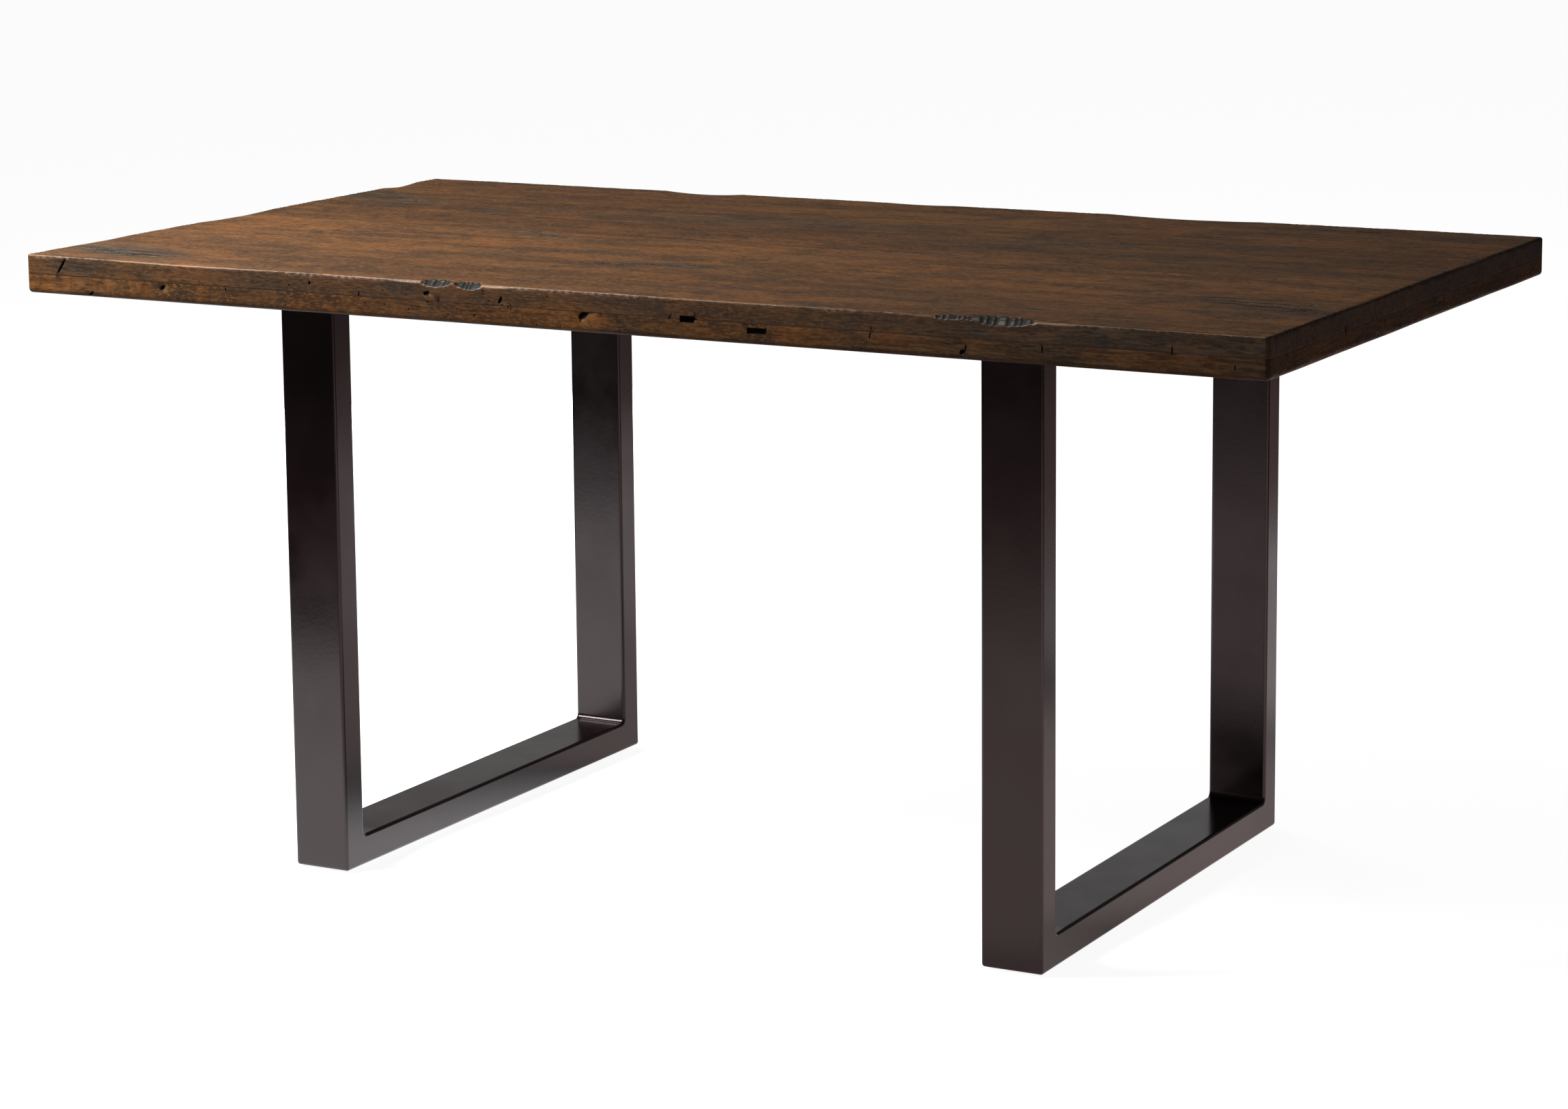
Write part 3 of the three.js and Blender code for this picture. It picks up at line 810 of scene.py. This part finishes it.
def bronze_steel():
    tree = Tree("bronze_coated_steel")
    where = tree.place()
    mottle = tree.noise(where, 9.0, 4.0, 0.6)
    grit = tree.noise(where, 900.0, 2.0, 0.6)
    orange_peel = tree.noise(where, 210.0, 2.0, 0.5)
    colour = tree.mix(tree.step(mottle, 0.35, 0.65),
                      rgb(0.0120, 0.0048, 0.0050), rgb(0.0190, 0.0080, 0.0080))
    # Painted highlight: a paler reddish line along the tube's rounded arrises.
    wear_and_highlight = tree.math("MULTIPLY", tree.step(tree.value("wear_and_highlight"), 0.3, 0.9), 0.5)
    colour = tree.mix(wear_and_highlight, colour, rgb(0.060, 0.024, 0.018))
    rough = tree.step(mottle, 0.3, 0.7, 0.16, 0.25)
    height = tree.math("ADD", tree.math("MULTIPLY", orange_peel, 0.7), tree.math("MULTIPLY", grit, 0.15))
    tree.set(Base_Color=colour, Roughness=rough, Normal=tree.bump(height, 0.10, 0.0006))
    tree.set(Specular_IOR_Level=0.72, Specular_Tint=rgb(1.0, 0.84, 0.83))
    return tree.material


def machined_metal(name, light, dark, rough):
    """Plain or plated metal with fine turning marks round Z and dull spots."""
    tree = Tree(name)
    where = tree.place()
    spots = tree.noise(where, 160.0, 4.0, 0.65)
    scuffs = tree.noise(tree.place(scale=(900, 900, 5200)), 1.0, 2.0, 0.5)
    colour = tree.mix(tree.step(spots, 0.38, 0.62), light, dark)
    height = tree.math("ADD", tree.math("MULTIPLY", spots, 0.4), scuffs)
    tree.set(Base_Color=colour, Metallic=1.0, Normal=tree.bump(height, 0.12, 0.0002))
    tree.set(Roughness=tree.step(scuffs, 0.3, 0.7, rough - 0.06, rough + 0.08))
    return tree.material


def moulded_nylon():
    tree = Tree("black_nylon")
    where = tree.place()
    scuffs = tree.noise(where, 260.0, 4.0, 0.6)
    grain = tree.noise(where, 1900.0, 2.0, 0.5)
    colour = tree.mix(tree.step(scuffs, 0.4, 0.65), rgb(0.017, 0.016, 0.015), rgb(0.034, 0.032, 0.030))
    tree.set(Base_Color=colour, Roughness=tree.step(scuffs, 0.3, 0.7, 0.42, 0.60))
    tree.set(Normal=tree.bump(grain, 0.15, 0.0003))
    return tree.material


# ------------------------------------------------------------------ the steel frames

OUTSIDE_CORNER = 4.5        # ground outside corner of a mitre
INSIDE_CORNER = 7.0         # weld run round the inside of a mitre
TUBE_ARRIS = 3.6            # rounded long edges of the tube
ARC_STEPS = 6               # segments in a corner of the U
ARRIS_STEPS = 5             # segments round a long edge
RUN_STEPS = 24              # segments along a straight run
WALL_ROWS = (0.06, 0.35, 0.65, 0.94)        # rows across the wall between the two long edges


def u_outline(depth, height, tube, base, shrink):
    """The U from the side as (y, z) pairs, drawn in by shrink: up the outside, down the inside."""
    outer = OUTSIDE_CORNER - shrink
    inner = INSIDE_CORNER + shrink
    half = depth / 2
    top = base + height
    path = []

    def arc(cy, cz, radius, start, end):
        for i in range(ARC_STEPS + 1):
            angle = math.radians(start + (end - start) * i / ARC_STEPS)
            path.append((cy + radius * math.cos(angle), cz + radius * math.sin(angle)))

    def run(start, end):
        for i in range(1, RUN_STEPS):
            share = i / RUN_STEPS
            path.append(tuple(a + (b - a) * share for a, b in zip(start, end)))

    out_y = half - OUTSIDE_CORNER
    out_z = base + OUTSIDE_CORNER
    in_y = half - tube - INSIDE_CORNER
    in_z = base + tube + INSIDE_CORNER
    path.append((-half + shrink, top))
    run(path[-1], (-half + shrink, out_z))
    arc(-out_y, out_z, outer, 180, 270)
    run(path[-1], (out_y, base + shrink))
    arc(out_y, out_z, outer, 270, 360)
    run(path[-1], (half - shrink, top))
    path.append((half - shrink, top))
    path.append((half - tube + shrink, top))
    run(path[-1], (half - tube + shrink, in_z))
    arc(in_y, in_z, inner, 0, -90)
    run(path[-1], (-in_y, base + tube - shrink))
    arc(-in_y, in_z, inner, -90, -180)
    run(path[-1], (-half + tube - shrink, top))
    path.append((-half + tube - shrink, top))
    return path


def steel_frame(side, material):
    post_low, post_high = box_mm(f"{side}_post_front")
    rail_low, rail_high = box_mm(f"{side}_floor_rail")
    back_low, back_high = box_mm(f"{side}_post_back")
    base = rail_low[2]
    tube = rail_high[2] - rail_low[2]
    depth = back_high[1] - post_low[1]
    height = post_high[2] - base
    x_low, x_high = post_low[0], post_high[0]
    rings = []
    for i in range(ARRIS_STEPS + 1):
        angle = math.pi / 2 * i / ARRIS_STEPS
        shrink = TUBE_ARRIS * (1 - math.sin(angle))
        inset = TUBE_ARRIS * (1 - math.cos(angle))
        rings.append((x_low + inset, shrink))
    rings += [(x_low + (x_high - x_low) * share, 0.0) for share in WALL_ROWS]
    rings += [(x_low + x_high - x, shrink) for x, shrink in reversed(rings[:ARRIS_STEPS + 1])]
    outlines = [u_outline(depth, height, tube, base, shrink) for _, shrink in rings]
    count = len(outlines[0])
    points = [(x, y, z) for (x, _), outline in zip(rings, outlines) for y, z in outline]
    polygons = []
    for ring in range(len(rings) - 1):
        for i in range(count):
            j = (i + 1) % count
            a, b = ring * count + i, ring * count + j
            polygons.append((a, b, b + count, a + count))
    half = count // 2
    for start, flip in ((0, False), ((len(rings) - 1) * count, True)):
        for i in range(half - 1):
            quad = (start + i, start + i + 1, start + count - 2 - i, start + count - 1 - i)
            polygons.append(quad if flip else tuple(reversed(quad)))
    piece = mesh_object(f"{side}_u_frame", points, polygons, material, 40)
    for wall in piece.data.polygons[-2 * (half - 1):]:
        wall.use_smooth = False
    shrinks = np.repeat([shrink for _, shrink in rings], count)
    share = shrinks / TUBE_ARRIS
    # Where the painted highlight lies: strongest midway round each rounded arris.
    add_values(piece, {"wear_and_highlight": 4 * share * (1 - share)})
    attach(piece, "root")
    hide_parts(f"{side}_post_front", f"{side}_post_back", f"{side}_floor_rail",
                f"{side}_weld_front", f"{side}_weld_back")


# ------------------------------------------------------------------ camera, lights and floor

LENS = 93.2535              # millimetres, on a sensor 36 mm wide
SENSOR_WIDTH = 36.0
CAMERA_PLACE = Vector((2.3457, -4.3588, 1.3934))
CAMERA_YAW = 0.4949         # radians: how far it turns left from looking along +Y
CAMERA_PITCH = 0.1644       # and how far it looks down
CAMERA_ROLL = -0.0092
CAMERA_RISE = -0.10         # the lens's shift, as a share of the sensor's width
FLOOR_SIZE = 120.0          # metres
SEEN_WHITE = 1.05           # the world's strength to the camera
FELT_WHITE = 0.058          # and to light and reflections


def add_camera():
    data = bpy.data.cameras.new("camera")
    data.sensor_width = SENSOR_WIDTH
    data.lens = LENS
    data.shift_y = CAMERA_RISE
    camera = bpy.data.objects.new("camera", data)
    turn = Matrix.Rotation(CAMERA_YAW, 4, "Z") @ Matrix.Rotation(math.pi / 2 - CAMERA_PITCH, 4, "X")
    turn = turn @ Matrix.Rotation(CAMERA_ROLL, 4, "Z")
    camera.matrix_world = Matrix.Translation(CAMERA_PLACE) @ turn
    bpy.context.scene.collection.objects.link(camera)
    bpy.context.scene.camera = camera


def add_light(name, place, aim, size, power, mirrored=True):
    data = bpy.data.lights.new(name, "AREA")
    data.shape = "RECTANGLE"
    data.size, data.size_y = size
    data.energy = power
    light = bpy.data.objects.new(name, data)
    light.location = place
    light.rotation_euler = (Vector(aim) - Vector(place)).to_track_quat("-Z", "Y").to_euler()
    light.visible_camera = False
    light.visible_glossy = mirrored
    bpy.context.scene.collection.objects.link(light)


def add_floor():
    """A pale floor. What it lends to reflections fades from bright patches round the table to dark."""
    tree = Tree("pale_floor")
    paths = tree.nodes.new("ShaderNodeLightPath")
    patches = [
        # middle, reach, and colour: full to 0.66 of the reach, and gone a little past it
        ((-1.02, -0.52), 1.04, (1.52, 1.56, 1.62)),
        ((0.00, 0.75), 0.85, (0.66, 0.57, 0.57)),
        ((0.42, 1.72), 1.12, (0.86, 0.78, 0.78)),
        ((0.15, -1.30), 1.20, (0.76, 0.68, 0.69)),
        ((1.05, 0.20), 0.75, (0.66, 0.56, 0.55)),
        ((1.90, -1.10), 1.90, (0.90, 0.78, 0.76)),
        ((1.30, 2.60), 1.90, (0.25, 0.16, 0.16)),
        ((-0.20, -3.00), 1.10, (0.20, 0.14, 0.14)),
    ]
    where = tree.add("ShaderNodeTexCoord", output="Object")
    glow = rgb(0.05, 0.045, 0.045)
    for (x, y), reach, colour in patches:
        away = tree.add("ShaderNodeVectorMath", {0: where, 1: (x, y, 0)}, output=1, operation="DISTANCE")
        patch = tree.mix(tree.step(away, 0.66 * reach, 1.05 * reach), rgb(*colour), rgb(0, 0, 0))
        glow = tree.mix(1.0, glow, patch, "LIGHTEN")
    mirrored = tree.add("ShaderNodeEmission", {"Color": glow, "Strength": 1.0})
    bounced = tree.add("ShaderNodeEmission", {"Color": rgb(1, 0.95, 0.9), "Strength": 0.07})
    pale = tree.add("ShaderNodeBsdfDiffuse", {"Color": rgb(0.8, 0.8, 0.8)})
    lift = tree.add("ShaderNodeEmission", {"Color": rgb(1, 1, 1), "Strength": 0.92})
    seen = tree.add("ShaderNodeAddShader", {0: pale, 1: lift})
    other = tree.add("ShaderNodeMixShader", {0: paths.outputs["Is Glossy Ray"], 1: bounced, 2: mirrored})
    surface = tree.add("ShaderNodeMixShader", {0: paths.outputs["Is Camera Ray"], 1: other, 2: seen})
    tree.nodes.remove(tree.shader)
    tree.links.new(surface, tree.nodes["Material Output"].inputs["Surface"])
    half = FLOOR_SIZE / 2
    mesh = bpy.data.meshes.new("floor")
    corners = [(-half, -half, 0), (half, -half, 0), (half, half, 0), (-half, half, 0)]
    mesh.from_pydata(corners, [], [(0, 1, 2, 3)])
    floor = bpy.data.objects.new("floor", mesh)
    bpy.context.scene.collection.objects.link(floor)
    mesh.materials.append(tree.material)


def add_world():
    """White to look at, dim to light and reflections, so that the studio lights do the modelling."""
    world = bpy.data.worlds.new("studio")
    world.use_nodes = True
    nodes, links = world.node_tree.nodes, world.node_tree.links
    paths = nodes.new("ShaderNodeLightPath")
    dim = nodes["Background"]
    dim.inputs["Color"].default_value = rgb(1, 1, 1)
    dim.inputs["Strength"].default_value = FELT_WHITE
    white = nodes.new("ShaderNodeBackground")
    white.inputs["Color"].default_value = rgb(1, 1, 1)
    white.inputs["Strength"].default_value = SEEN_WHITE
    mix = nodes.new("ShaderNodeMixShader")
    links.new(paths.outputs["Is Camera Ray"], mix.inputs[0])
    links.new(dim.outputs[0], mix.inputs[1])
    links.new(white.outputs[0], mix.inputs[2])
    links.new(mix.outputs[0], nodes["World Output"].inputs["Surface"])
    bpy.context.scene.world = world


# ------------------------------------------------------------------ build

add_camera()
add_world()
add_floor()
add_light("key", (-1.45, -0.90, 2.05), (-0.55, -0.2, 0.7), (1.1, 1.1), 77)
add_light("back_fill", (-2.6, 2.4, 0.42), (-0.3, 0.1, 0.40), (1.8, 0.7), 42, mirrored=False)
add_light("rail_glow", (-1.2, 2.0, 0.525), (-1.2, 0.0, 0.525), (2.5, 0.75), 1.6)

BOARD_LOOKS = [
    # seed, tone, figure, warmth
    (3, 1.04, 0.30, 0.45),
    (4, 1.10, 0.30, 0.65),
    (5, 0.93, 0.45, 0.32),
    (6, 0.99, 0.30, 0.35),
]
for node, (seed, tone, figure, warmth) in zip(BOARDS, BOARD_LOOKS):
    wood = stained_wood(f"stained_{node}", seed, "X", tone, figure, warmth)
    wooden_piece(node, wood)
for seed, node in enumerate(STRIPS, 11):
    along = "X" if node.endswith(("front", "back")) else "Y"
    wood = stained_wood(f"stained_{node}", seed, along, tone=1.30, figure=0.80, warmth=1.0,
                        pores=0.45, redden=0.05, gloss=0.14)
    wooden_piece(node, wood)

steel = bronze_steel()
for side in ("left", "right"):
    steel_frame(side, steel)

zinc = machined_metal("zinc_plate", rgb(0.60, 0.61, 0.62), rgb(0.42, 0.43, 0.46), 0.34)
brass = machined_metal("turned_brass", rgb(0.66, 0.47, 0.18), rgb(0.50, 0.34, 0.12), 0.30)
nylon = moulded_nylon()
cleat_wood = stained_wood("stained_cleats", 21, "Y", tone=1.5, figure=0.30, warmth=0.8, pores=0.4)
HARDWARE = (
    ("mount_plate", steel), ("cleat_screw", zinc), ("cleat", cleat_wood), ("bolt", zinc),
    ("washer", zinc), ("insert", brass), ("glide", nylon),
)
for node, cad_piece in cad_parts.items():
    for word, material in HARDWARE:
        if word in node:
            cad_piece.material_slots[0].material = material
            break

bpy.context.scene.view_settings.view_transform = "Standard"
